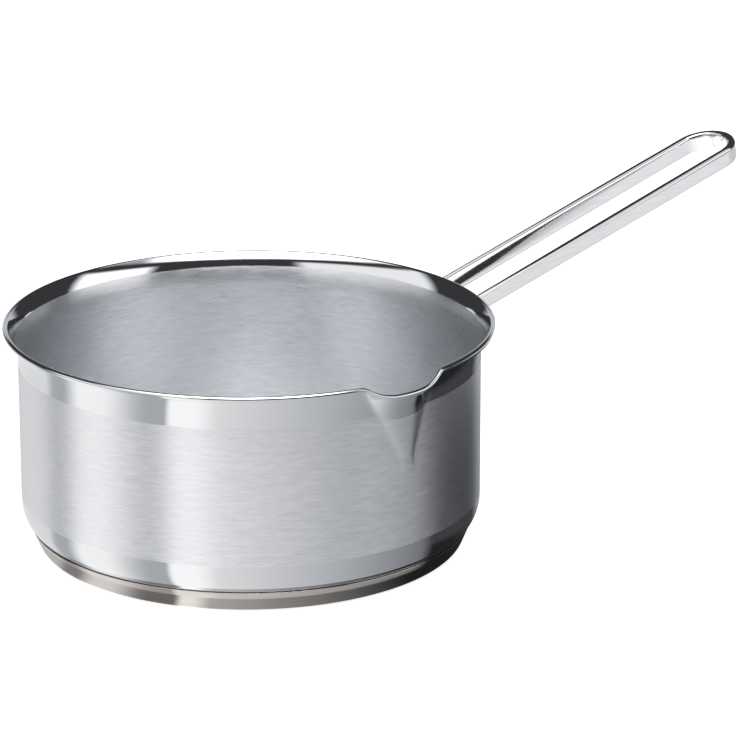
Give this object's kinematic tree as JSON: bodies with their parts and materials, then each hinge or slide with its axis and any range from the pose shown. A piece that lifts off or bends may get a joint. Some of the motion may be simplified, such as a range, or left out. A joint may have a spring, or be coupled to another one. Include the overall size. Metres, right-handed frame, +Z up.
{
  "type": "saucepan",
  "caption": "Stainless-steel saucepan with straight walls, a flared rolled lip, a side pouring spout, an encapsulated base and a loop handle of bent bar.",
  "frame": {"origin": "middle of the underside of the base, where the pan stands", "axes": "+Z up along the vessel's axis, +X along the handle, -Y towards the pouring spout"},
  "size_m": [0.3699, 0.2019, 0.1264],
  "materials": {
    "vessel_steel": "satin brushed around the wall, polished at the lip and above the base",
    "cap_steel": "polished magnetic steel",
    "handle_steel": "polished",
    "weld_steel": "as welded",
    "core_aluminium": "matt",
    "braze_alloy": "matt braze"
  },
  "bodies": {
    "root": {"pan_body": "vessel_steel", "upper_braze_film": "braze_alloy", "heat_disc": "core_aluminium", "lower_braze_film": "braze_alloy", "base_cap": "cap_steel", "handle_loop": "handle_steel", "weld_nugget_left_lower": "weld_steel", "weld_nugget_left_upper": "weld_steel", "weld_nugget_right_lower": "weld_steel", "weld_nugget_right_upper": "weld_steel"}
  },
  "joints": []
}
